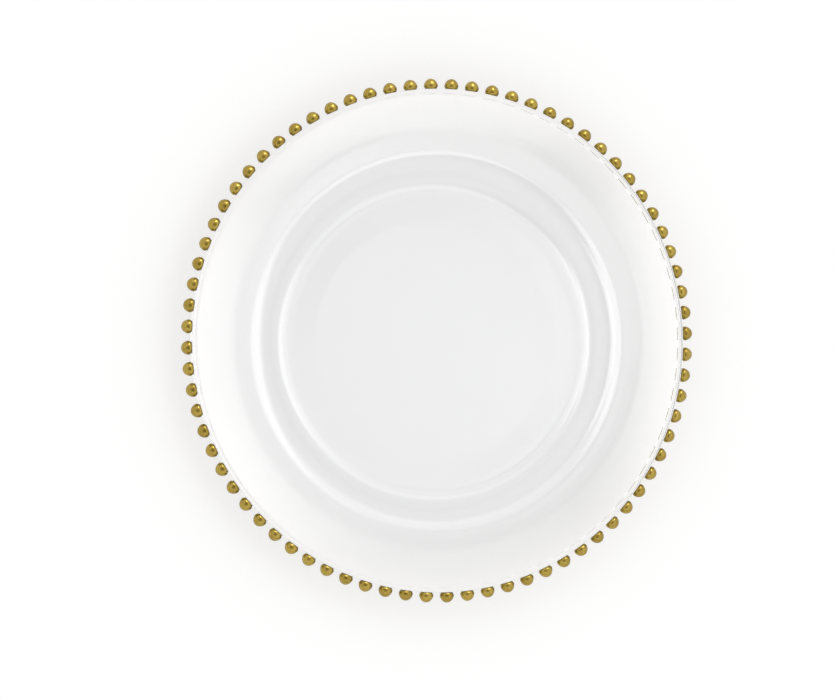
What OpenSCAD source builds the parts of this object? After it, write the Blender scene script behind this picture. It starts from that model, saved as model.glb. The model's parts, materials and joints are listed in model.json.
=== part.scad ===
// Charger plate: one pressing of clear glass with gilded beads seated round its edge.
// Lengths are in millimetres, +Z is up, and the foot stands on z = 0, centred on the Z axis.

/* [Glass] */
// Diameter of the glass, without the beads
glass_d = 317; // [300:0.5:360]
// Thickness of the glass in the floor, the wall and the flange
glass_t = 4; // [3:0.1:5]

/* [Well] */
// Height of the wall, from the floor to the flange
well_depth = 9.6; // [6:0.1:16]
// How far the wall leans out over that height, from corner to corner before rounding
wall_lean = 12.6; // [8:0.2:20]
// Radius of the bend between the floor and the wall, on the upper surface
floor_bend_r = 22; // [6:0.5:26]
// Radius of the heel under that bend
heel_r = 20; // [3:0.5:24]
// Radius of the shoulder between the wall and the flange, on the upper surface
shoulder_r = 25.5; // [8:0.5:32]

/* [Flange] */
// Width of the flange's inner part, from the shoulder to the turn where it rises more
flange_w = 18.9; // [12:0.1:30]
// Rise of that part
flange_rise = 0.8; // [0.4:0.1:4]
// Width of the flange's outer part, from that turn to the lip
brim_w = 23.3; // [14:0.1:30]
// Rise of that part
brim_rise = 3.4; // [1:0.1:6]
// Radius of that soft turn, on the upper surface
brim_bend_r = 170; // [60:5:240]

/* [Lip] */
// Width of the rolled lip, seen from above
lip_w = 3.2; // [2.5:0.1:5]
// Height of the rolled lip, which stands proud above and below the flange
lip_h = 5.8; // [5.2:0.1:8]
// Width of the slopes from the flange to the lip's top and bottom
lip_slope_w = 1.6; // [0.8:0.1:2]
// Radius of the lip's rounded outer edges
lip_round = 0.8; // [0.3:0.1:1.5]
// Radius that softens the tops of the slopes
lip_crest_r = 2; // [0.5:0.1:4]
// Radius of the fillets where the slopes meet the flange
lip_root_r = 3; // [0.5:0.1:5]

/* [Foot] */
// Height of the hollow under the floor, inside the ring that the plate stands on
foot_h = 0.4; // [0.2:0.1:3]
// Width of that ring, inside the heel
foot_w = 4; // [2:0.1:8]
// Width of the slope from the ring up to the hollow
foot_slope_w = 14; // [3:0.5:20]
// Radius that softens both ends of the slope
foot_soft_r = 40; // [1:1:60]

/* [Beads] */
// How many beads stand round the edge
bead_count = 76; // [50:2:84]
// Diameter of a bead
bead_d = 9; // [7:0.1:10.5]
// How far a bead's centre lies outside the glass
bead_out = 2; // [0.6:0.1:2.4]
// Diameter of the seat to which a bead's back narrows at the glass
bead_seat_d = 5.6; // [4:0.1:6.4]

/* [Hidden] */
// Facets round the plate and round a bead
ring_fn = 180;
bead_fn = 48;
// Largest turn of one step along a rounded corner, in degrees
step_angle = 6;
// Fewest steps along a rounded corner
fewest_steps = 2;
// Share of a corner's shorter side that its rounding may take
corner_share = 0.5;
// How far a cutting shape reaches past what it cuts
overrun = 0.3;
// Beads in one node
beads_per_set = 2;

glass_colour = "#EDEEF0";
glass_alpha = 0.5;
gold_colour = "#B89C4A";

// Radii of the plate's rings
glass_r = glass_d / 2;
lip_inner_r = glass_r - lip_w;
lip_crest_in_r = lip_inner_r + lip_slope_w;
brim_r = lip_inner_r - brim_w;
well_r = brim_r - flange_w;
floor_r = well_r - wall_lean;

// Heights of the upper surface, from the floor out to the lip
floor_z = foot_h + glass_t;
shoulder_z = floor_z + well_depth;
brim_z = shoulder_z + flange_rise;
edge_z = brim_z + brim_rise;

// The lip, centred on the flange's edge
brim_slope = atan2(brim_rise, lip_inner_r - brim_r);
edge_low_z = edge_z - glass_t / cos(brim_slope);
lip_mid_z = (edge_z + edge_low_z) / 2;
lip_top_z = lip_mid_z + lip_h / 2;
lip_low_z = lip_mid_z - lip_h / 2;

// Beads and the sets that hold them
bead_r = bead_d / 2;
bead_seat_r = bead_seat_d / 2;
bead_reach = bead_out + bead_r;
bead_angle = 360 / bead_count;
set_count = ceil(bead_count / beads_per_set);

function set_name(i) = str("gold_bead_pair_", i < 10 ? "0" : "", i);

// Outlines are lists of corners [radius, height, rounding].
function flat(p) = [p[0], p[1]];
function unit(v) = v / norm(v);
function turned(v, a) = [v[0] * cos(a) - v[1] * sin(a), v[0] * sin(a) + v[1] * cos(a)];
function heading(a, b) = unit(flat(b) - flat(a));
function side(a, b) = norm(flat(b) - flat(a));

// Angle by which an outline turns at corner b, positive to the left
function turn_at(a, b, c) =
    let (u = heading(a, b), v = heading(b, c)) atan2(cross(u, v), u * v);

// Length that the rounding of corner b takes off each of its sides
function setback(a, b, c) =
    min(b[2] * tan(abs(turn_at(a, b, c)) / 2), corner_share * min(side(a, b), side(b, c)));

// Points along the rounding of corner b
function rounding(a, b, c) =
    let (
        turn = turn_at(a, b, c),
        back = setback(a, b, c),
        start = flat(b) - back * heading(a, b),
        centre = start + back / tan(turn / 2) * turned(heading(a, b), 90),
        steps = max(fewest_steps, ceil(abs(turn) / step_angle))
    )
    [for (i = [0:steps]) centre + turned(start - centre, turn * i / steps)];

// A closed outline with each of its corners rounded
function rounded(corners) =
    let (n = len(corners))
    [for (i = [0:n - 1])
        let (a = corners[(i + n - 1) % n], b = corners[i], c = corners[(i + 1) % n])
        each (b[2] > 0 ? rounding(a, b, c) : [flat(b)])];

// Corner b of the underside: its sides lie the glass thickness under those of the upper surface,
// and its rounding shares the upper one's centre
function under(a, b, c) =
    let (
        p = turned(heading(a, b), -90),
        q = turned(heading(b, c), -90),
        corner = flat(b) + glass_t * (p + q) / (1 + p * q)
    )
    [corner[0], corner[1], b[2] + sign(turn_at(a, b, c)) * glass_t];

upper = [
    [0, floor_z, 0],
    [floor_r, floor_z, floor_bend_r],
    [well_r, shoulder_z, shoulder_r],
    [brim_r, brim_z, brim_bend_r],
    [lip_inner_r, edge_z, lip_root_r]
];

lip = [
    [lip_crest_in_r, lip_top_z, lip_crest_r],
    [glass_r, lip_top_z, lip_round],
    [glass_r, lip_low_z, lip_round],
    [lip_crest_in_r, lip_low_z, lip_crest_r],
    [lip_inner_r, edge_low_z, lip_root_r]
];

under_floor = under(upper[0], upper[1], upper[2]);
shoulder_under = under(upper[1], upper[2], upper[3]);
brim_under = under(upper[2], upper[3], upper[4]);

// The heel, where the wall's underside comes down to the ring that the plate stands on
heel = [under_floor[0] - under_floor[1] * wall_lean / well_depth, 0, heel_r];
stand = [0, 0, 0];
foot_outer_r = heel[0] - setback(stand, heel, shoulder_under);
foot_inner_r = foot_outer_r - foot_w;

foot = [
    [foot_inner_r, 0, foot_soft_r],
    [foot_inner_r - foot_slope_w, foot_h, foot_soft_r],
    [0, foot_h, 0]
];

// The plate of clear glass: floor, wall, flange, rolled lip and foot in one pressing
module glass_plate() {
    color(glass_colour, glass_alpha)
        rotate_extrude($fn = ring_fn)
            polygon(rounded(concat(upper, lip, [brim_under, shoulder_under, heel], foot)));
}

// Radius of the cone along a bead's back, at a distance outside the glass
function flare(x) = bead_seat_r + (bead_r - bead_seat_r) * x / bead_out;

// A ball whose back narrows to a seat that fits the lip's outer face
module gold_bead(turn) {
    rotate([0, 0, turn])
        translate([glass_r, 0, lip_mid_z])
            difference() {
                intersection() {
                    translate([bead_out, 0, 0])
                        sphere(r = bead_r, $fn = bead_fn);
                    translate([-overrun, 0, 0])
                        rotate([0, 90, 0])
                            cylinder(
                                h = bead_reach + 2 * overrun,
                                r1 = flare(-overrun),
                                r2 = flare(bead_reach + overrun),
                                $fn = bead_fn
                            );
                }
                translate([-glass_r, 0, -bead_d])
                    cylinder(r = glass_r, h = 2 * bead_d, $fn = ring_fn * 2);
            }
}

// Neighbouring beads that share a node, each a solid of its own
module gold_bead_set(i) {
    first = (i - 1) * beads_per_set;
    last = min(i * beads_per_set, bead_count) - 1;
    color(gold_colour)
        for (k = [first:last])
            gold_bead(k * bead_angle);
}

glass_plate();
for (i = [1:set_count])
    gold_bead_set(i);
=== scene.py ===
"""Glass charger plate with a rim of gilded beads, dressed for rendering.

Laid out as an add-on and run as a script. Lengths are in metres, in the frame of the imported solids:
+Z is up, and the plate stands on z = 0, centred on the Z axis.
"""

import json
import math
from typing import NamedTuple

import bmesh
import bpy
from bpy.props import (
    FloatProperty,
    FloatVectorProperty,
    IntProperty,
    PointerProperty,
)
from mathutils import Matrix, Vector

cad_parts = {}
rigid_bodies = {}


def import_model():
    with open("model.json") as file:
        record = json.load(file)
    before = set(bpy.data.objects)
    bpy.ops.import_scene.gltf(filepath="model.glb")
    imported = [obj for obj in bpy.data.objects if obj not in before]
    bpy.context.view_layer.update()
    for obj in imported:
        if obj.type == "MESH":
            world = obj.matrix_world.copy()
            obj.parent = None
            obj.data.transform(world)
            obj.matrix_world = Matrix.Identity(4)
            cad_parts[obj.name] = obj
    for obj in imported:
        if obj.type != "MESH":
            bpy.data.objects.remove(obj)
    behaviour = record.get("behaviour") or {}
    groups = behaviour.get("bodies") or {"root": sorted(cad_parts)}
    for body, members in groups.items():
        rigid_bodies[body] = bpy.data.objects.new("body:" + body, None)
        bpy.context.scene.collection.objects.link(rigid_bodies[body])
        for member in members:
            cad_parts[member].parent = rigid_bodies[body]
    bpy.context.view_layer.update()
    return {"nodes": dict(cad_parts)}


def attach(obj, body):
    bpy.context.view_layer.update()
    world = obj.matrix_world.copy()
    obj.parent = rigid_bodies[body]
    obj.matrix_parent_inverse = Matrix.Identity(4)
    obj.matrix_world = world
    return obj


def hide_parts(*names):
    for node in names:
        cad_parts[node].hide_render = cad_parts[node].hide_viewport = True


bl_info = {
    "name": "Glass Charger Plate",
    "version": (1, 0, 0),
    "blender": (4, 5, 0),
    "location": "3D View > Sidebar > Charger Plate",
    "description": "Clear glass charger plate with gilded beads round its rim",
    "category": "Add Mesh",
}

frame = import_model()
BEAD_NODES = sorted(name for name in frame["nodes"] if name != "glass_plate")
BEADS_PER_NODE = 2

# Width of the picture, in pixels
PHOTO_WIDTH_PX = 835
SENSOR_WIDTH_MM = 36.0

# Lengths nearer than this are taken as equal.
NEARLY = 1e-6

# Points nearer than this are joined.
MERGE_DISTANCE = 1e-7

# Fewest steps along a rounded corner
FEWEST_STEPS = 2

# A bevel with this profile is an arc.
ROUND_PROFILE = 0.5

# Light that bounces in the glass more often than this is let out, as the edges would turn black.
MOST_BOUNCES = 5

WHITE = (1, 1, 1, 1)


class PlateSizes(bpy.types.PropertyGroup):
    """Sizes of the pressed glass, from the middle out."""

    glass_diameter: FloatProperty(
        name="Glass diameter",
        description="Diameter of the glass, without the beads",
        default=0.317,
        unit="LENGTH",
    )
    thickness: FloatProperty(
        name="Thickness",
        description="Thickness of the floor, the wall and the flange",
        default=0.004,
        unit="LENGTH",
    )
    well_depth: FloatProperty(
        name="Well depth",
        description="Height of the wall, from the floor to the flange",
        default=0.0096,
        unit="LENGTH",
    )
    wall_lean: FloatProperty(
        name="Wall lean",
        description="How far the wall leans out over its height",
        default=0.0126,
        unit="LENGTH",
    )
    floor_bend: FloatProperty(
        name="Floor bend",
        description="Radius of the bend between the floor and the wall",
        default=0.022,
        unit="LENGTH",
    )
    heel: FloatProperty(
        name="Heel",
        description="Radius of the heel under that bend",
        default=0.020,
        unit="LENGTH",
    )
    shoulder: FloatProperty(
        name="Shoulder",
        description="Radius of the shoulder between the wall and the flange",
        default=0.0255,
        unit="LENGTH",
    )
    flange_width: FloatProperty(
        name="Flange width",
        description="Width of the flange's inner part",
        default=0.0189,
        unit="LENGTH",
    )
    flange_rise: FloatProperty(
        name="Flange rise",
        description="Rise of the flange's inner part",
        default=0.0008,
        unit="LENGTH",
    )
    brim_width: FloatProperty(
        name="Brim width",
        description="Width of the flange's outer part, up to the lip",
        default=0.0233,
        unit="LENGTH",
    )
    brim_rise: FloatProperty(
        name="Brim rise",
        description="Rise of the flange's outer part",
        default=0.0034,
        unit="LENGTH",
    )
    brim_bend: FloatProperty(
        name="Brim bend",
        description="Radius of the turn between the flange's two parts",
        default=0.170,
        unit="LENGTH",
    )
    lip_width: FloatProperty(
        name="Lip width",
        description="Width of the rolled lip, seen from above",
        default=0.0032,
        unit="LENGTH",
    )
    lip_height: FloatProperty(
        name="Lip height",
        description="Height of the rolled lip",
        default=0.0058,
        unit="LENGTH",
    )
    lip_slope: FloatProperty(
        name="Lip slope",
        description="Width of the slopes from the flange to the lip's top and bottom",
        default=0.0016,
        unit="LENGTH",
    )
    lip_round: FloatProperty(
        name="Lip rounding",
        description="Radius of the lip's rounded outer edges",
        default=0.0008,
        unit="LENGTH",
    )
    lip_crest: FloatProperty(
        name="Lip crest",
        description="Radius that softens the tops of the slopes",
        default=0.002,
        unit="LENGTH",
    )
    lip_root: FloatProperty(
        name="Lip root",
        description="Radius of the fillets where the slopes meet the flange",
        default=0.003,
        unit="LENGTH",
    )
    foot_height: FloatProperty(
        name="Foot height",
        description="Height of the hollow inside the ring that the plate stands on",
        default=0.0004,
        unit="LENGTH",
    )
    foot_width: FloatProperty(
        name="Foot width",
        description="Width of that ring, inside the heel",
        default=0.004,
        unit="LENGTH",
    )
    foot_slope: FloatProperty(
        name="Foot slope",
        description="Width of the slope from the ring up to the hollow",
        default=0.014,
        unit="LENGTH",
    )
    foot_soft: FloatProperty(
        name="Foot softening",
        description="Radius that softens both ends of the slope",
        default=0.040,
        unit="LENGTH",
    )
    steps_round: IntProperty(
        name="Steps round",
        description="Faces round the plate",
        default=288,
    )
    step_angle: FloatProperty(
        name="Step angle",
        description="Largest turn of one step along a rounded corner",
        default=math.radians(3),
        subtype="ANGLE",
    )
    longest_face: FloatProperty(
        name="Longest face",
        description="Longest face along the straight parts, so that their shading stays flat",
        default=0.004,
        unit="LENGTH",
    )


class BeadSizes(bpy.types.PropertyGroup):
    """Sizes of the beads round the rim."""

    count: IntProperty(
        name="Count",
        description="How many beads stand round the rim",
        default=BEADS_PER_NODE * len(BEAD_NODES),
    )
    diameter: FloatProperty(
        name="Diameter",
        description="Diameter of a bead",
        default=0.009,
        unit="LENGTH",
    )
    reach: FloatProperty(
        name="Reach",
        description="How far a bead stands out from the glass",
        default=0.0065,
        unit="LENGTH",
    )
    widest_out: FloatProperty(
        name="Widest part out",
        description="How far a bead's widest part lies outside the glass",
        default=0.0014,
        unit="LENGTH",
    )
    seat_diameter: FloatProperty(
        name="Seat diameter",
        description="Diameter of the seat to which a bead's back narrows at the glass",
        default=0.0072,
        unit="LENGTH",
    )
    edge_round: FloatProperty(
        name="Edge rounding",
        description="Width of the rounded edge between a bead's dome and its back",
        default=0.0005,
        unit="LENGTH",
    )
    edge_steps: IntProperty(
        name="Edge steps",
        description="Faces across that rounded edge",
        default=3,
    )
    steps_round: IntProperty(
        name="Steps round",
        description="Faces round a bead",
        default=28,
    )
    step_angle: FloatProperty(
        name="Step angle",
        description="Largest turn of one step along a bead's outline",
        default=math.radians(10),
        subtype="ANGLE",
    )


class GlassFinish(bpy.types.PropertyGroup):
    """Finish of the clear pressed glass."""

    tint: FloatVectorProperty(
        name="Tint",
        description="Colour of the light that passes the glass",
        default=(0.998, 0.994, 0.997),
        subtype="COLOR",
        min=0,
        max=1,
    )
    floor_tint: FloatVectorProperty(
        name="Floor tint",
        description="Share of the light that one surface of the glass lets through to the floor",
        default=(0.825, 0.825, 0.825),
        subtype="COLOR",
        min=0,
        max=1,
    )
    body_colour: FloatVectorProperty(
        name="Body colour",
        description="Colour that the glass shows where light runs a long way through it",
        default=(0.90, 0.96, 0.94),
        subtype="COLOR",
        min=0,
        max=1,
    )
    body_density: FloatProperty(
        name="Body density",
        description="How fast the glass takes on that colour, per metre",
        default=10.0,
        min=0,
    )
    ior: FloatProperty(
        name="Refraction",
        description="Index of refraction of the glass",
        default=1.5,
        min=1,
    )
    haze: FloatProperty(
        name="Haze",
        description="Most roughness of the polished surface",
        default=0.02,
        min=0,
        max=1,
    )
    haze_size: FloatProperty(
        name="Haze size",
        description="Size of the patches where the polish differs",
        default=0.012,
        unit="LENGTH",
    )
    swell_height: FloatProperty(
        name="Swell height",
        description="Height of the faint unevenness left by the press",
        default=0.00008,
        unit="LENGTH",
        precision=5,
    )
    swell_size: FloatProperty(
        name="Swell size",
        description="Size of one swell",
        default=0.03,
        unit="LENGTH",
    )


class GildingFinish(bpy.types.PropertyGroup):
    """Finish of the gilded beads."""

    gold: FloatVectorProperty(
        name="Gold",
        description="Colour of the gilding",
        default=(0.47, 0.33, 0.042),
        subtype="COLOR",
        min=0,
        max=1,
    )
    deep_gold: FloatVectorProperty(
        name="Deep gold",
        description="Colour of the gilding where it lies thick",
        default=(0.375, 0.25, 0.02),
        subtype="COLOR",
        min=0,
        max=1,
    )
    edge_colour: FloatVectorProperty(
        name="Edge colour",
        description="Share of the light that the gilding keeps where it is seen edge-on",
        default=(0.35, 0.35, 0.2),
        subtype="COLOR",
        min=0,
        max=1,
    )
    roughness: FloatProperty(
        name="Roughness",
        description="Roughness of the gilding",
        default=0.34,
        subtype="FACTOR",
        min=0,
        max=1,
    )
    unevenness: FloatProperty(
        name="Unevenness",
        description="How far that roughness varies up and down",
        default=0.06,
        subtype="FACTOR",
        min=0,
        max=1,
    )
    glaze: FloatProperty(
        name="Glaze",
        description="Share of the gilding that a clear glaze covers",
        default=0.9,
        subtype="FACTOR",
        min=0,
        max=1,
    )
    glaze_roughness: FloatProperty(
        name="Glaze roughness",
        description="Roughness of that glaze",
        default=0.14,
        subtype="FACTOR",
        min=0,
        max=1,
    )
    tone_size: FloatProperty(
        name="Tone size",
        description="Size of the areas, about a bead across, where the gilding differs in tone",
        default=0.011,
        unit="LENGTH",
    )
    patch_size: FloatProperty(
        name="Patch size",
        description="Size of the patches where the gilding differs in thickness and polish",
        default=0.0022,
        unit="LENGTH",
    )
    grain_size: FloatProperty(
        name="Grain size",
        description="Size of the fine grain in the gilding",
        default=0.0004,
        unit="LENGTH",
    )
    grain_height: FloatProperty(
        name="Grain height",
        description="Height of that grain",
        default=0.00001,
        unit="LENGTH",
        precision=5,
    )


class Studio(bpy.types.PropertyGroup):
    """Floor, light and camera."""

    floor_colour: FloatVectorProperty(
        name="Floor colour",
        description="Colour of the floor",
        default=(0.8, 0.8, 0.8),
        subtype="COLOR",
        min=0,
        max=1,
    )
    floor_glow: FloatProperty(
        name="Floor glow",
        description="Light added to what the camera, metal and glass see of the floor",
        default=0.35,
    )
    floor_width: FloatProperty(
        name="Floor width",
        description="Width of the square floor",
        default=12.0,
        unit="LENGTH",
    )


class Corner(NamedTuple):
    """A corner of an outline in the XZ plane, and the radius that rounds it."""

    x: float
    z: float
    rounding: float = 0.0


def heading(start, end):
    """Direction from one corner to another."""
    return Vector((end.x - start.x, 0, end.z - start.z)).normalized()


def turn_at(before, corner, after):
    """Angle by which an outline turns at a corner, positive to the left as seen with Z up."""
    arriving, leaving = heading(before, corner), heading(corner, after)
    return math.atan2(arriving.x * leaving.z - arriving.z * leaving.x, arriving.dot(leaving))


def setback(before, corner, after):
    """Length that a corner's rounding takes off each of its sides."""
    sides = [math.hypot(corner.x - other.x, corner.z - other.z) for other in (before, after)]
    turn = abs(turn_at(before, corner, after))
    return min(corner.rounding * math.tan(turn / 2), min(sides) / 2)


def draw_outline(mesh, corners, step_angle):
    """Draw an open outline through the corners, each rounded by its radius."""
    pen = mesh.verts.new((corners[0].x, 0, corners[0].z))
    for before, corner, after in zip(corners, corners[1:], corners[2:] + corners[-1:]):
        last = corner is corners[-1]
        turn = 0 if last else turn_at(before, corner, after)
        back = 0 if last else setback(before, corner, after)
        place = Vector((corner.x, 0, corner.z)) - back * heading(before, corner)
        pen = bmesh.ops.extrude_vert_indiv(mesh, verts=[pen])["verts"][0]
        bmesh.ops.translate(mesh, verts=[pen], vec=place - pen.co)
        if back > 0:
            to_centre = Matrix.Rotation(-math.pi / 2, 3, "Y") @ heading(before, corner)
            arc = bmesh.ops.spin(
                mesh,
                geom=[pen],
                cent=place + back / math.tan(turn / 2) * to_centre,
                axis=(0, -1, 0),
                angle=turn,
                steps=max(FEWEST_STEPS, math.ceil(abs(turn) / step_angle)),
                use_duplicate=False,
            )
            pen = next(item for item in arc["geom_last"] if isinstance(item, bmesh.types.BMVert))


def split_long_edges(mesh, longest):
    """Cut the outline's long edges into equal parts."""
    for edge in mesh.edges[:]:
        parts = math.ceil(edge.calc_length() / longest)
        if parts > 1:
            bmesh.ops.subdivide_edges(mesh, edges=[edge], cuts=parts - 1)


def turn_on_lathe(mesh, axis, steps):
    """Turn the outline round an axis into a closed shell that faces outwards."""
    bmesh.ops.spin(
        mesh,
        geom=mesh.verts[:] + mesh.edges[:],
        cent=(0, 0, 0),
        axis=axis,
        angle=2 * math.pi,
        steps=steps,
        use_merge=True,
        use_duplicate=False,
    )
    bmesh.ops.remove_doubles(mesh, verts=mesh.verts[:], dist=MERGE_DISTANCE)
    bmesh.ops.recalc_face_normals(mesh, faces=mesh.faces[:])


def under(before, corner, after, thickness):
    """The underside's corner, whose sides lie the glass thickness under those of the upper one."""
    below = Matrix.Rotation(math.pi / 2, 3, "Y")
    arriving, leaving = below @ heading(before, corner), below @ heading(corner, after)
    offset = thickness * (arriving + leaving) / (1 + arriving.dot(leaving))
    place = Vector((corner.x, 0, corner.z)) + offset
    rounding = corner.rounding + math.copysign(thickness, turn_at(before, corner, after))
    return Corner(place.x, place.z, rounding)


def plate_outline(sizes):
    """Corners of the plate's section, from the middle of the floor to that of the underside.

    The height of the lip's middle comes with them.
    """
    glass_radius = sizes.glass_diameter / 2
    lip_inner = glass_radius - sizes.lip_width
    lip_crest = lip_inner + sizes.lip_slope
    brim = lip_inner - sizes.brim_width
    well = brim - sizes.flange_width
    floor = well - sizes.wall_lean

    floor_z = sizes.foot_height + sizes.thickness
    shoulder_z = floor_z + sizes.well_depth
    brim_z = shoulder_z + sizes.flange_rise
    edge_z = brim_z + sizes.brim_rise
    slope = math.atan2(sizes.brim_rise, sizes.brim_width)
    edge_low_z = edge_z - sizes.thickness / math.cos(slope)
    lip_z = (edge_z + edge_low_z) / 2
    lip_top = lip_z + sizes.lip_height / 2
    lip_low = lip_z - sizes.lip_height / 2

    upper = [
        Corner(0, floor_z),
        Corner(floor, floor_z, sizes.floor_bend),
        Corner(well, shoulder_z, sizes.shoulder),
        Corner(brim, brim_z, sizes.brim_bend),
        Corner(lip_inner, edge_z, sizes.lip_root),
    ]
    lip = [
        Corner(lip_crest, lip_top, sizes.lip_crest),
        Corner(glass_radius, lip_top, sizes.lip_round),
        Corner(glass_radius, lip_low, sizes.lip_round),
        Corner(lip_crest, lip_low, sizes.lip_crest),
        Corner(lip_inner, edge_low_z, sizes.lip_root),
    ]
    under_floor, under_shoulder, under_brim = (
        under(*upper[i : i + 3], sizes.thickness) for i in range(3)
    )
    heel = Corner(
        under_floor.x - under_floor.z * sizes.wall_lean / sizes.well_depth, 0, sizes.heel
    )
    foot_outer = heel.x - setback(Corner(0, 0), heel, under_shoulder)
    foot_inner = foot_outer - sizes.foot_width
    foot = [
        Corner(foot_inner, 0, sizes.foot_soft),
        Corner(foot_inner - sizes.foot_slope, sizes.foot_height, sizes.foot_soft),
        Corner(0, sizes.foot_height),
    ]
    return upper + lip + [under_brim, under_shoulder, heel] + foot, lip_z


def draw_bead(sizes):
    """Turn one bead along X, with the middle of its seat at the origin."""
    radius = sizes.diameter / 2
    mesh = bmesh.new()
    pen = mesh.verts.new((0, 0, 0))
    for x, z in ((0, sizes.seat_diameter / 2), (sizes.widest_out, radius)):
        pen = bmesh.ops.extrude_vert_indiv(mesh, verts=[pen])["verts"][0]
        bmesh.ops.translate(mesh, verts=[pen], vec=Vector((x, 0, z)) - pen.co)
    bmesh.ops.spin(
        mesh,
        geom=[pen],
        cent=(sizes.widest_out, 0, 0),
        axis=(0, 1, 0),
        angle=math.pi / 2,
        steps=math.ceil(math.pi / 2 / sizes.step_angle),
        use_duplicate=False,
    )
    widest_place = Matrix.Translation((sizes.widest_out, 0, 0))
    bmesh.ops.scale(
        mesh,
        vec=((sizes.reach - sizes.widest_out) / radius, 1, 1),
        space=widest_place.inverted(),
        verts=[vert for vert in mesh.verts if vert.co.x > sizes.widest_out + NEARLY],
    )
    turn_on_lathe(mesh, (1, 0, 0), sizes.steps_round)
    widest = [
        edge
        for edge in mesh.edges
        if all(math.hypot(vert.co.y, vert.co.z) > radius - NEARLY for vert in edge.verts)
    ]
    bmesh.ops.bevel(
        mesh,
        geom=widest,
        affect="EDGES",
        offset=sizes.edge_round,
        offset_type="OFFSET",
        segments=sizes.edge_steps,
        profile=ROUND_PROFILE,
        material=-1,
    )
    bead = bpy.data.meshes.new("bead")
    mesh.to_mesh(bead)
    mesh.free()
    return bead


def add_piece(name, mesh, material, nodes):
    """Make a finished mesh a smooth-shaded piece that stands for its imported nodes."""
    data = bpy.data.meshes.new(name)
    mesh.to_mesh(data)
    mesh.free()
    data.shade_smooth()
    data.materials.append(material)
    piece = bpy.data.objects.new(name, data)
    bpy.context.scene.collection.objects.link(piece)
    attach(piece, "root")
    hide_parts(*nodes)


def add_node(tree, kind, inputs=None, **settings):
    """Add a node. inputs gives each named socket its value, or the socket that feeds it."""
    node = tree.nodes.new(kind)
    for name, value in settings.items():
        setattr(node, name, value)
    for name, value in (inputs or {}).items():
        if isinstance(value, bpy.types.NodeSocket):
            tree.links.new(value, node.inputs[name])
        else:
            node.inputs[name].default_value = value
    return node


def new_material(name):
    """A material with an empty node tree, and the tree."""
    material = bpy.data.materials.new(name)
    material.use_nodes = True
    material.node_tree.nodes.clear()
    return material, material.node_tree


def either(tree, first, second):
    """A value that is 1 where either of two others is."""
    return add_node(tree, "ShaderNodeMath", {0: first, 1: second}, operation="MAXIMUM").outputs[0]


def noise(tree, place, size, detail):
    """Soft noise whose grains are about the given size across."""
    return add_node(
        tree, "ShaderNodeTexNoise", {"Vector": place, "Scale": 1 / size, "Detail": detail}
    ).outputs["Fac"]


def soft_step(tree, value, start, end, from_value, to_value):
    """Ease from one value to another between two places."""
    return add_node(
        tree,
        "ShaderNodeMapRange",
        {
            "Value": value,
            "From Min": start,
            "From Max": end,
            "To Min": from_value,
            "To Max": to_value,
        },
        interpolation_type="SMOOTHSTEP",
    ).outputs["Result"]


def in_range(tree, value, low, high, at_low=0.35, at_high=0.65):
    """Spread a noise's middle values over a range."""
    return soft_step(tree, value, at_low, at_high, low, high)


def clear_glass(finish):
    """Clear pressed glass that lets the surround's light through to the floor."""
    material, tree = new_material("clear_pressed_glass")
    place = add_node(tree, "ShaderNodeTexCoord").outputs["Object"]
    swell = noise(tree, place, finish.swell_size, detail=1)
    bump = add_node(
        tree,
        "ShaderNodeBump",
        {"Height": swell, "Strength": 1.0, "Distance": finish.swell_height},
    )
    haze = in_range(tree, noise(tree, place, finish.haze_size, detail=4), 0, finish.haze)
    glass = add_node(
        tree,
        "ShaderNodeBsdfPrincipled",
        {
            "Base Color": (*finish.tint, 1),
            "Roughness": haze,
            "IOR": finish.ior,
            "Transmission Weight": 1.0,
            "Normal": bump.outputs["Normal"],
        },
    )
    stand_in = add_node(tree, "ShaderNodeBsdfTransparent", {"Color": (*finish.floor_tint, 1)})
    path = add_node(tree, "ShaderNodeLightPath").outputs
    trapped = add_node(
        tree,
        "ShaderNodeMath",
        {0: path["Ray Depth"], 1: MOST_BOUNCES},
        operation="GREATER_THAN",
    ).outputs[0]
    surface = add_node(
        tree,
        "ShaderNodeMixShader",
        {
            0: either(tree, either(tree, path["Is Shadow Ray"], path["Is Diffuse Ray"]), trapped),
            1: glass.outputs["BSDF"],
            2: stand_in.outputs["BSDF"],
        },
    )
    body = add_node(
        tree,
        "ShaderNodeVolumeAbsorption",
        {"Color": (*finish.body_colour, 1), "Density": finish.body_density},
    )
    add_node(
        tree,
        "ShaderNodeOutputMaterial",
        {"Surface": surface.outputs["Shader"], "Volume": body.outputs["Volume"]},
    )
    return material


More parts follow.
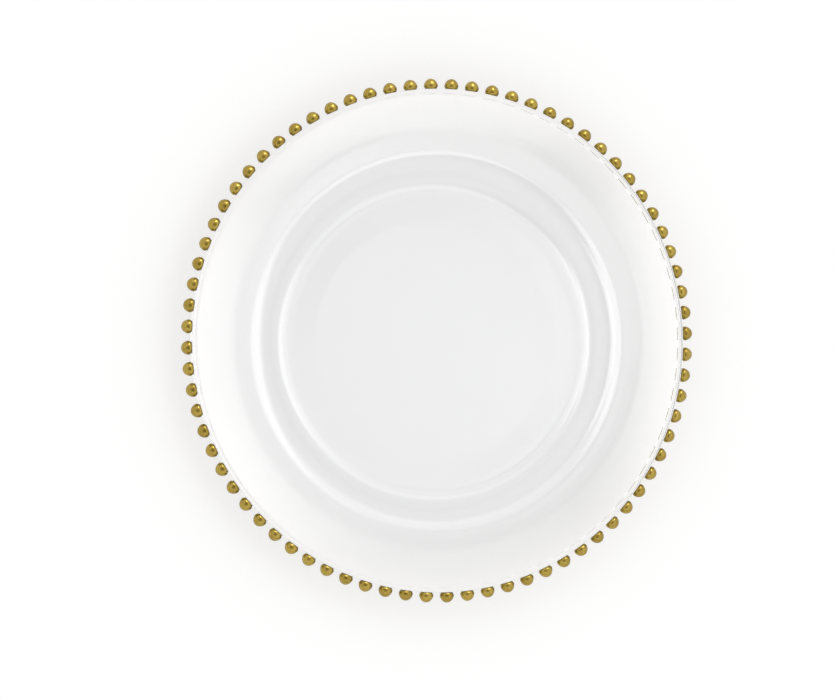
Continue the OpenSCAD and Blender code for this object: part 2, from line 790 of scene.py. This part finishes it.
def gilding(finish):
    """Gilding under a clear glaze: a little uneven in colour, polish and thickness."""
    material, tree = new_material("bead_gilding")
    place = add_node(tree, "ShaderNodeTexCoord").outputs["Object"]
    tones = noise(tree, place, finish.tone_size, detail=0)
    patches = noise(tree, place, finish.patch_size, detail=3)
    grain = noise(tree, place, finish.grain_size, detail=2)
    thickness = add_node(tree, "ShaderNodeMath", {0: tones, 1: patches}, operation="ADD").outputs[0]
    colour = add_node(
        tree,
        "ShaderNodeMix",
        {
            "Factor": in_range(tree, thickness, 0, 1, at_low=0.75, at_high=1.25),
            "A": (*finish.gold, 1),
            "B": (*finish.deep_gold, 1),
        },
        data_type="RGBA",
    )
    bump = add_node(
        tree, "ShaderNodeBump", {"Height": grain, "Strength": 1.0, "Distance": finish.grain_height}
    )
    polished = finish.roughness - finish.unevenness
    worn = finish.roughness + finish.unevenness
    gold = add_node(
        tree,
        "ShaderNodeBsdfPrincipled",
        {
            "Base Color": colour.outputs["Result"],
            "Metallic": 1.0,
            "Roughness": in_range(tree, patches, polished, worn),
            "Specular Tint": (*finish.edge_colour, 1),
            "Coat Weight": finish.glaze,
            "Coat Roughness": finish.glaze_roughness,
            "Normal": bump.outputs["Normal"],
        },
    )
    add_node(tree, "ShaderNodeOutputMaterial", {"Surface": gold.outputs["BSDF"]})
    return material


def bead_piece_name(i):
    """Name of the piece that stands for the bead node with this index."""
    return f"bead_pair_{i + 1:02d}"


class PressGlassPlate(bpy.types.Operator):
    """Make the plate: floor, wall, flange, rolled lip and foot in one pressing."""

    bl_idname = "charger.press_glass_plate"
    bl_label = "Press Glass Plate"

    def execute(self, context):
        sizes = context.scene.charger_plate_sizes
        outline, _ = plate_outline(sizes)
        mesh = bmesh.new()
        draw_outline(mesh, outline, sizes.step_angle)
        split_long_edges(mesh, sizes.longest_face)
        turn_on_lathe(mesh, (0, 0, 1), sizes.steps_round)
        material = clear_glass(context.scene.charger_glass_finish)
        add_piece("pressed_glass_plate", mesh, material, ["glass_plate"])
        return {"FINISHED"}


class SeatGildedBeads(bpy.types.Operator):
    """Make the gilded beads and seat them round the lip, two to a piece."""

    bl_idname = "charger.seat_gilded_beads"
    bl_label = "Seat Gilded Beads"

    def execute(self, context):
        sizes = context.scene.charger_bead_sizes
        plate = context.scene.charger_plate_sizes
        lip_z = plate_outline(plate)[1]
        material = gilding(context.scene.charger_gilding_finish)
        bead = draw_bead(sizes)
        seat = Matrix.Translation((plate.glass_diameter / 2, 0, lip_z))
        for i, node in enumerate(BEAD_NODES):
            mesh = bmesh.new()
            for k in range(i * BEADS_PER_NODE, (i + 1) * BEADS_PER_NODE):
                old = len(mesh.verts)
                mesh.from_mesh(bead)
                mesh.verts.ensure_lookup_table()
                turn = Matrix.Rotation(k * 2 * math.pi / sizes.count, 4, "Z")
                bmesh.ops.transform(mesh, matrix=turn @ seat, verts=mesh.verts[old:])
            add_piece(bead_piece_name(i), mesh, material, [node])
        bpy.data.meshes.remove(bead)
        return {"FINISHED"}


def floor_material(studio):
    """Pale matt floor that keeps the object's shadow and looks white to camera, metal and glass."""
    material, tree = new_material("pale_floor")
    matt = add_node(tree, "ShaderNodeBsdfDiffuse", {"Color": (*studio.floor_colour, 1)})
    path = add_node(tree, "ShaderNodeLightPath").outputs
    mirrored = either(tree, path["Is Glossy Ray"], path["Is Transmission Ray"])
    seen = either(tree, path["Is Camera Ray"], mirrored)
    strength = add_node(
        tree, "ShaderNodeMath", {0: seen, 1: studio.floor_glow}, operation="MULTIPLY"
    )
    glow = add_node(tree, "ShaderNodeEmission", {"Strength": strength.outputs[0]})
    both = add_node(
        tree, "ShaderNodeAddShader", {0: matt.outputs["BSDF"], 1: glow.outputs["Emission"]}
    )
    add_node(tree, "ShaderNodeOutputMaterial", {"Surface": both.outputs["Shader"]})
    return material


def towards(lean_x, lean_y):
    """Direction that leans from straight up by two angles, towards +X and +Y."""
    return Vector((math.tan(lean_x), math.tan(lean_y), 1)).normalized()


def angle_from(tree, direction, centre):
    """Angle between a direction in the node tree and a fixed one."""
    along = add_node(
        tree, "ShaderNodeVectorMath", {0: direction, 1: centre}, operation="DOT_PRODUCT"
    )
    return add_node(
        tree, "ShaderNodeMath", {0: along.outputs["Value"]}, operation="ARCCOSINE"
    ).outputs[0]


# Surround: even light that dims overhead, where the camera hangs, and towards the horizon.
# Angles overhead are measured from OVERHEAD, and those of the horizon from straight up.
OVERHEAD = towards(math.radians(-12.7), 0)
OVERHEAD_LIGHT = 0.25
OVERHEAD_START, OVERHEAD_END = math.radians(15), math.radians(48)
EVEN_LIGHT = 1.08
HORIZON_SHARE = 0.5
HORIZON_START, HORIZON_END = math.radians(65), math.radians(90)


def light_world():
    """White to the camera, and soft light from all round for the object."""
    world = bpy.data.worlds.new("studio_surround")
    bpy.context.scene.world = world
    world.use_nodes = True
    tree = world.node_tree
    tree.nodes.clear()
    direction = add_node(tree, "ShaderNodeTexCoord").outputs["Generated"]
    overhead = angle_from(tree, direction, OVERHEAD)
    even = soft_step(tree, overhead, OVERHEAD_START, OVERHEAD_END, OVERHEAD_LIGHT, EVEN_LIGHT)
    from_above = angle_from(tree, direction, Vector((0, 0, 1)))
    share = soft_step(tree, from_above, HORIZON_START, HORIZON_END, 1, HORIZON_SHARE)
    light = add_node(tree, "ShaderNodeMath", {0: even, 1: share}, operation="MULTIPLY").outputs[0]
    to_camera = add_node(tree, "ShaderNodeLightPath").outputs["Is Camera Ray"]
    seen = add_node(
        tree, "ShaderNodeMix", {"Factor": to_camera, "A": light, "B": 1}, data_type="FLOAT"
    )
    background = add_node(
        tree, "ShaderNodeBackground", {"Color": WHITE, "Strength": seen.outputs["Result"]}
    )
    add_node(tree, "ShaderNodeOutputWorld", {"Surface": background.outputs["Background"]})


# Soft boxes: name, lean towards +X and +Y, half width along X and Y, all in degrees, and
# brightness in the middle. These shine on the glass alone, so that its bends show crescents.
GLASS_BOXES = [
    ("overhead_box", -8, -1, 17.5, 18.5, 2.7),
    ("side_box", 35.5, 2, 24.5, 17, 2.35),
    ("wide_box", 11, 22, 40, 20.5, 1.15),
    ("narrow_box", 15, -14, 16.5, 8.5, 1.95),
    ("spot_box", 11.5, -2, 7, 8, 1.2),
    ("far_box", -23, 1.5, 9.5, 27.5, 2.4),
]
# This one shines on the beads alone and gives them their highlights.
BEAD_BOX = ("bead_box", 24, 59, 17, 12, 7.5)

BOX_DISTANCE = 6.0
# Place of a box's middle, and the distance from there to its edge, in shares of its width
BOX_MIDDLE = (0.5, 0.5, 0)
BOX_EDGE = 0.5
# Share of that distance over which a box fades out
BOX_SOFT_SHARE = 0.6


def soft_box(name, lean_x, lean_y, half_x, half_y, brightness, lit):
    """A box of light that fades towards its oval edge and lights only one collection."""
    width, height = (2 * BOX_DISTANCE * math.tan(half) for half in (half_x, half_y))
    lamp = bpy.data.lights.new(name, "AREA")
    lamp.shape = "RECTANGLE"
    lamp.size, lamp.size_y = width, height
    # The power grows with the area, so that a box is equally bright at any size.
    lamp.energy = math.pi * width * height * brightness
    lamp.use_nodes = True
    tree = lamp.node_tree
    tree.nodes.clear()
    place = add_node(tree, "ShaderNodeNewGeometry").outputs["Parametric"]
    out = add_node(
        tree, "ShaderNodeVectorMath", {0: place, 1: BOX_MIDDLE}, operation="DISTANCE"
    ).outputs["Value"]
    fade = soft_step(tree, out, BOX_EDGE * (1 - BOX_SOFT_SHARE), BOX_EDGE, 1, 0)
    emission = add_node(tree, "ShaderNodeEmission", {"Strength": fade})
    add_node(tree, "ShaderNodeOutputLight", {"Surface": emission.outputs["Emission"]})
    box = bpy.data.objects.new(name, lamp)
    bpy.context.scene.collection.objects.link(box)
    direction = towards(lean_x, lean_y)
    across = Vector((0, 1, 0)).cross(direction).normalized()
    turned = Matrix((across, direction.cross(across), direction)).transposed()
    box.matrix_world = Matrix.Translation(direction * BOX_DISTANCE) @ turned.to_4x4()
    box.light_linking.receiver_collection = lit


# Camera fitted to the ring of beads in the photograph: X and Y of the unit vector back from what
# it looks at, its roll, how far it stands off, and the point that it looks at
CAMERA_LEAN = (-0.2203, -0.0105)
CAMERA_ROLL = -0.0313
CAMERA_DISTANCE = 3.978
CAMERA_AIM = (-0.0139, -0.0056, 0.0160)
FOCAL_PX = 6325
CAMERA_CLIP_END = 50


def aim_camera():
    """Set the camera where the photograph was taken from."""
    lean_x, lean_y = CAMERA_LEAN
    back = Vector((lean_x, lean_y, math.sqrt(1 - lean_x**2 - lean_y**2)))
    right = (-back).cross(Vector((0, 1, 0))).normalized()
    up = right.cross(-back)
    turned = Matrix((right, up, back)).transposed() @ Matrix.Rotation(CAMERA_ROLL, 3, "Z")
    data = bpy.data.cameras.new("photo_camera")
    data.sensor_fit = "HORIZONTAL"
    data.sensor_width = SENSOR_WIDTH_MM
    data.lens = FOCAL_PX * SENSOR_WIDTH_MM / PHOTO_WIDTH_PX
    data.clip_end = CAMERA_CLIP_END
    camera = bpy.data.objects.new("photo_camera", data)
    bpy.context.scene.collection.objects.link(camera)
    camera.matrix_world = Matrix.Translation(
        Vector(CAMERA_AIM) + back * CAMERA_DISTANCE
    ) @ turned.to_4x4()
    bpy.context.scene.camera = camera


def lay_floor(studio):
    """Lay the square floor that the plate stands on."""
    mesh = bmesh.new()
    bmesh.ops.create_grid(mesh, x_segments=1, y_segments=1, size=studio.floor_width / 2)
    data = bpy.data.meshes.new("studio_floor")
    mesh.to_mesh(data)
    mesh.free()
    data.materials.append(floor_material(studio))
    floor = bpy.data.objects.new("studio_floor", data)
    bpy.context.scene.collection.objects.link(floor)


def hang_boxes():
    """Hang the soft boxes, each linked to the glass or to the beads."""
    glass, beads = (bpy.data.collections.new(name) for name in ("glass", "beads"))
    glass.objects.link(bpy.data.objects["pressed_glass_plate"])
    for i in range(len(BEAD_NODES)):
        beads.objects.link(bpy.data.objects[bead_piece_name(i)])
    for boxes, lit in ((GLASS_BOXES, glass), ([BEAD_BOX], beads)):
        for name, *angles, brightness in boxes:
            soft_box(name, *(math.radians(angle) for angle in angles), brightness, lit)


class SetStudio(bpy.types.Operator):
    """Lay the floor, hang the lamps and set the camera."""

    bl_idname = "charger.set_studio"
    bl_label = "Set Studio"

    def execute(self, context):
        lay_floor(context.scene.charger_studio)
        light_world()
        hang_boxes()
        aim_camera()
        context.scene.view_settings.view_transform = "Standard"
        return {"FINISHED"}


class ChargerPlatePanel(bpy.types.Panel):
    """Buttons that make the charger plate and its studio."""

    bl_idname = "VIEW3D_PT_charger_plate"
    bl_label = "Charger Plate"
    bl_space_type = "VIEW_3D"
    bl_region_type = "UI"
    bl_category = "Charger Plate"

    def draw(self, context):
        for maker in MAKERS:
            self.layout.operator(maker.bl_idname)


MAKERS = (PressGlassPlate, SeatGildedBeads, SetStudio)
SETTINGS = {
    "charger_plate_sizes": PlateSizes,
    "charger_bead_sizes": BeadSizes,
    "charger_glass_finish": GlassFinish,
    "charger_gilding_finish": GildingFinish,
    "charger_studio": Studio,
}


def register():
    for cls in (*SETTINGS.values(), *MAKERS, ChargerPlatePanel):
        bpy.utils.register_class(cls)
    for name, group in SETTINGS.items():
        setattr(bpy.types.Scene, name, PointerProperty(type=group))


def unregister():
    for name in SETTINGS:
        delattr(bpy.types.Scene, name)
    for cls in (ChargerPlatePanel, *reversed(MAKERS), *reversed(SETTINGS.values())):
        bpy.utils.unregister_class(cls)


def main():
    register()
    bpy.ops.charger.press_glass_plate()
    bpy.ops.charger.seat_gilded_beads()
    bpy.ops.charger.set_studio()


if __name__ == "__main__":
    main()
